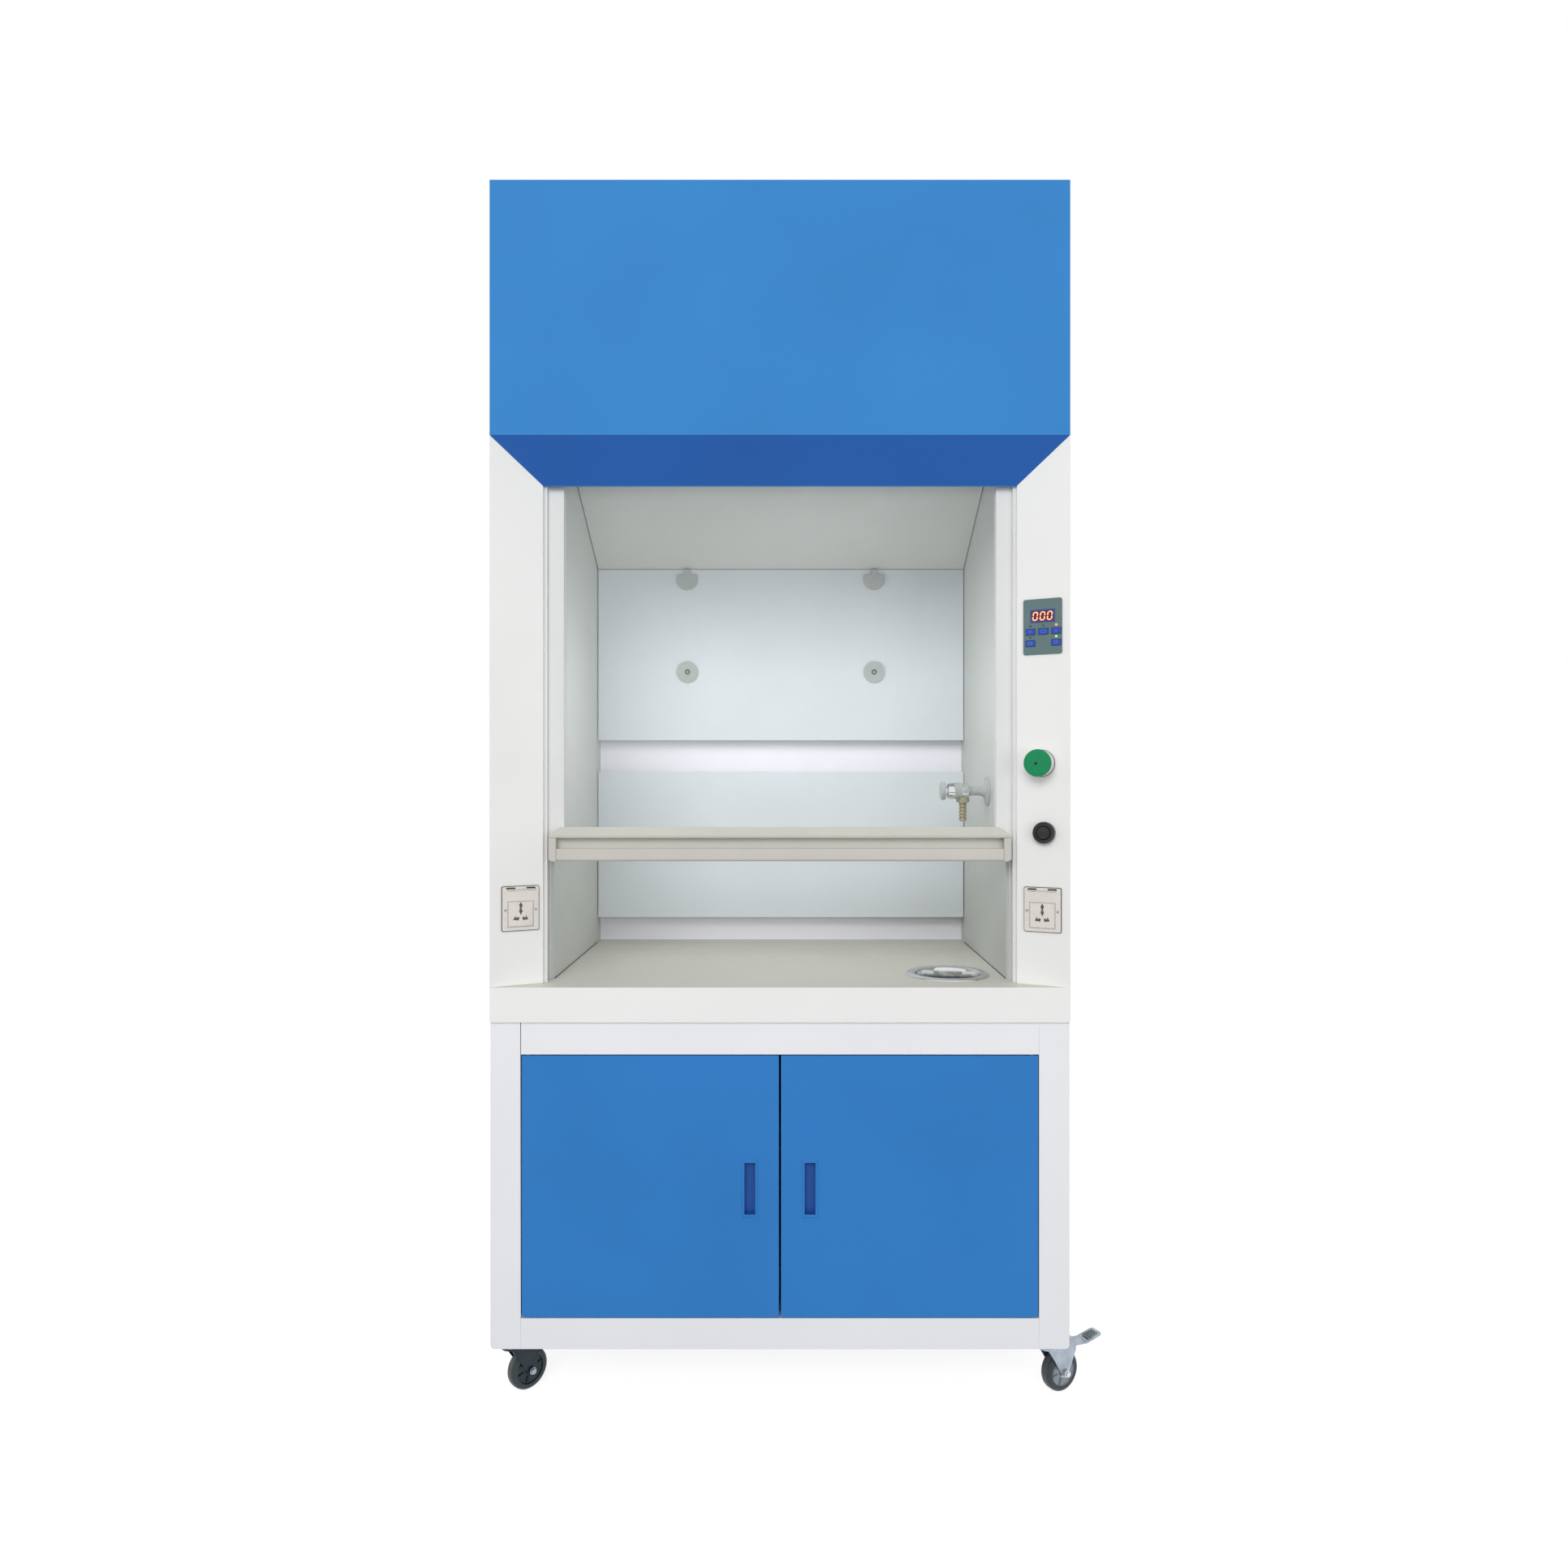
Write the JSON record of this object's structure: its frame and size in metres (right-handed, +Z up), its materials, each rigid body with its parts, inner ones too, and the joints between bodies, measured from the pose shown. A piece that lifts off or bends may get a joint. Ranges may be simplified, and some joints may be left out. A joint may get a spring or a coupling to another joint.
{
  "type": "ducted fume hood",
  "caption": "Floor-standing ducted fume hood on casters with a balanced vertical sash, sink, tap, blower and cupboard.",
  "frame": {"origin": "on the floor, under the middle of the hood's footprint", "axes": "+Z up, +X to the user's right, -Y towards the user at the sash"},
  "size_m": [1.21, 0.8438, 2.26],
  "materials": {
    "white_steel": "satin powder coat",
    "blue_steel": "satin powder coat",
    "door_blue": "satin powder coat",
    "worktop_slab": "matt solid laminate",
    "liner_board": "matt compact laminate",
    "baffle_board": "matt compact laminate",
    "fixing_plastic": "matt",
    "aluminium": "satin anodised",
    "handle_aluminium": "satin anodised",
    "safety_glass": "clear",
    "stainless": "polished",
    "zinc_steel": "zinc plated",
    "chrome": "polished",
    "duct_plastic": "matt",
    "trap_plastic": "matt",
    "panel_plastic": "satin",
    "display_plastic": "gloss",
    "button_plastic": "gloss",
    "socket_plastic": "gloss",
    "lid_plastic": "clear",
    "knob_green": "satin",
    "knob_black": "gloss",
    "belt_rubber": "matt",
    "cast_weight": "painted",
    "motor_paint": "satin enamel",
    "lamp_white": "opal",
    "fork_dark": "gloss enamel",
    "wheel_rubber": "satin"
  },
  "bodies": {
    "root": {"base_front_frame": "white_steel", "base_panels": "white_steel", "sill": "white_steel", "worktop": "worktop_slab", "side_panels": "white_steel", "rear_panel": "white_steel", "post_left": "white_steel", "post_right": "white_steel", "fascia": "blue_steel", "top_panel": "white_steel", "duct_collar": "duct_plastic", "chamber_liner": "liner_board", "ceiling_panel": "liner_board", "baffle_top": "baffle_board", "baffle_middle": "baffle_board", "baffle_lower": "baffle_board", "baffle_fixings": "fixing_plastic", "ceiling_lamp": "lamp_white", "sink_cup": "stainless", "drain_trap": "trap_plastic", "water_tap": "chrome", "water_valve": "stainless", "control_panel": "panel_plastic", "display_window": "display_plastic", "socket_outlets": "socket_plastic", "sash_guides": "aluminium", "balance_mounts": "zinc_steel", "drive_belts": "belt_rubber", "hinge_pins": "zinc_steel", "blower_housing": "duct_plastic", "blower_motor": "motor_paint", "caster_plates": "zinc_steel"},
    "sash": {"sash_frame": "aluminium", "sash_glass": "safety_glass", "sash_handle": "handle_aluminium"},
    "counterweights": {"counterweights": "cast_weight"},
    "cross_shaft": {"pulley_shaft": "zinc_steel"},
    "idlers": {"idler_pulleys": "aluminium"},
    "door_left": {"door_left": "door_blue"},
    "door_right": {"door_right": "door_blue"},
    "water_knob": {"water_knob": "knob_green"},
    "black_knob": {"black_knob": "knob_black"},
    "lid_left": {"socket_lid_left": "lid_plastic"},
    "lid_right": {"socket_lid_right": "lid_plastic"},
    "impeller": {"impeller": "duct_plastic"},
    "button_1": {"button_1": "button_plastic"},
    "button_2": {"button_2": "button_plastic"},
    "button_3": {"button_3": "button_plastic"},
    "button_4": {"button_4": "button_plastic"},
    "button_5": {"button_5": "button_plastic"},
    "fork_front_left": {"caster_fork_front_left": "fork_dark"},
    "wheel_front_left": {"caster_wheel_front_left": "wheel_rubber"},
    "fork_front_right": {"caster_fork_front_right": "zinc_steel"},
    "wheel_front_right": {"caster_wheel_front_right": "wheel_rubber"},
    "pedal_front_right": {"brake_pedal_front_right": "zinc_steel"},
    "fork_rear_left": {"caster_fork_rear_left": "zinc_steel"},
    "wheel_rear_left": {"caster_wheel_rear_left": "wheel_rubber"},
    "pedal_rear_left": {"brake_pedal_rear_left": "zinc_steel"},
    "fork_rear_right": {"caster_fork_rear_right": "fork_dark"},
    "wheel_rear_right": {"caster_wheel_rear_right": "wheel_rubber"}
  },
  "joints": [
    {"name": "sash_slide", "type": "slide", "parent": "root", "child": "sash", "axis": [0, 0, 1], "range_m": [-0.215, 0.275]},
    {"name": "counterweight_slide", "type": "slide", "parent": "root", "child": "counterweights", "axis": [0, 0, 1], "range_m": [-0.276, 0.216]},
    {"name": "cross_shaft_turn", "type": "hinge", "parent": "root", "child": "cross_shaft", "pos_m": [0, -0.303, 2.14], "axis": [1, 0, 0], "range_deg": [-530, 425]},
    {"name": "idler_turn", "type": "hinge", "parent": "root", "child": "idlers", "pos_m": [0, -0.303, 1.2], "axis": [1, 0, 0], "range_deg": [-530, 425]},
    {"name": "door_right_hinge", "type": "hinge", "parent": "root", "child": "door_right", "pos_m": [0.4535, -0.388, 0.395], "axis": [0, 0, 1], "range_deg": [0, 110]},
    {"name": "door_left_hinge", "type": "hinge", "parent": "root", "child": "door_left", "pos_m": [-0.4535, -0.388, 0.395], "axis": [0, 0, -1], "range_deg": [0, 110]},
    {"name": "swivel_front_left", "type": "hinge", "parent": "root", "child": "fork_front_left", "pos_m": [-0.49, -0.354, 0.09], "axis": [0, 0, 1], "continuous": true},
    {"name": "wheel_front_left_spin", "type": "hinge", "parent": "fork_front_left", "child": "wheel_front_left", "pos_m": [-0.46879, -0.33279, 0.0375], "axis": [-0.7071, 0.7071, 0], "continuous": true},
    {"name": "swivel_front_right", "type": "hinge", "parent": "root", "child": "fork_front_right", "pos_m": [0.49, -0.354, 0.09], "axis": [0, 0, 1], "continuous": true},
    {"name": "wheel_front_right_spin", "type": "hinge", "parent": "fork_front_right", "child": "wheel_front_right", "pos_m": [0.51598, -0.339, 0.0375], "axis": [-0.5, 0.866, 0], "continuous": true},
    {"name": "brake_front_right", "type": "hinge", "parent": "fork_front_right", "child": "pedal_front_right", "pos_m": [0.5333, -0.329, 0.08], "axis": [-0.5, 0.866, 0], "range_deg": [0, 15]},
    {"name": "swivel_rear_left", "type": "hinge", "parent": "root", "child": "fork_rear_left", "pos_m": [-0.49, 0.354, 0.09], "axis": [0, 0, 1], "continuous": true},
    {"name": "wheel_rear_left_spin", "type": "hinge", "parent": "fork_rear_left", "child": "wheel_rear_left", "pos_m": [-0.51598, 0.339, 0.0375], "axis": [0.5, -0.866, 0], "continuous": true},
    {"name": "brake_rear_left", "type": "hinge", "parent": "fork_rear_left", "child": "pedal_rear_left", "pos_m": [-0.5333, 0.329, 0.08], "axis": [0.5, -0.866, 0], "range_deg": [0, 15]},
    {"name": "swivel_rear_right", "type": "hinge", "parent": "root", "child": "fork_rear_right", "pos_m": [0.49, 0.354, 0.09], "axis": [0, 0, 1], "continuous": true},
    {"name": "wheel_rear_right_spin", "type": "hinge", "parent": "fork_rear_right", "child": "wheel_rear_right", "pos_m": [0.46879, 0.33279, 0.0375], "axis": [0.7071, -0.7071, 0], "continuous": true},
    {"name": "water_knob_turn", "type": "hinge", "parent": "root", "child": "water_knob", "pos_m": [0.46522, -0.39551, 1.1556], "axis": [-0.4388, -0.8986, 0], "range_deg": [0, 270]},
    {"name": "black_knob_turn", "type": "hinge", "parent": "root", "child": "black_knob", "pos_m": [0.47461, -0.38896, 1.03], "axis": [-0.4388, -0.8986, 0], "range_deg": [-135, 135]},
    {"name": "button_1_press", "type": "slide", "parent": "root", "child": "button_1", "axis": [0.4388, 0.8986, 0], "range_m": [0, 0.0015], "stiffness_N_per_m": 300},
    {"name": "button_2_press", "type": "slide", "parent": "root", "child": "button_2", "axis": [0.4388, 0.8986, 0], "range_m": [0, 0.0015], "stiffness_N_per_m": 300},
    {"name": "button_3_press", "type": "slide", "parent": "root", "child": "button_3", "axis": [0.4388, 0.8986, 0], "range_m": [0, 0.0015], "stiffness_N_per_m": 300},
    {"name": "button_4_press", "type": "slide", "parent": "root", "child": "button_4", "axis": [0.4388, 0.8986, 0], "range_m": [0, 0.0015], "stiffness_N_per_m": 300},
    {"name": "button_5_press", "type": "slide", "parent": "root", "child": "button_5", "axis": [0.4388, 0.8986, 0], "range_m": [0, 0.0015], "stiffness_N_per_m": 300},
    {"name": "lid_right_hinge", "type": "hinge", "parent": "root", "child": "lid_right", "pos_m": [0.47324, -0.38417, 0.926], "axis": [-0.8986, 0.4388, 0], "range_deg": [0, 100]},
    {"name": "lid_left_hinge", "type": "hinge", "parent": "root", "child": "lid_left", "pos_m": [-0.46824, -0.38173, 0.9285], "axis": [-0.8986, -0.4388, 0], "range_deg": [0, 100]},
    {"name": "impeller_spin", "type": "hinge", "parent": "root", "child": "impeller", "pos_m": [0, -0.08544, 2.02], "axis": [1, 0, 0], "continuous": true}
  ],
  "couplings": [
    {"joint": "counterweight_slide", "follows": "sash_slide", "ratio": -1},
    {"joint": "cross_shaft_turn", "follows": "sash_slide", "rad_per_m": -33.333},
    {"joint": "idler_turn", "follows": "sash_slide", "rad_per_m": -33.333}
  ]
}
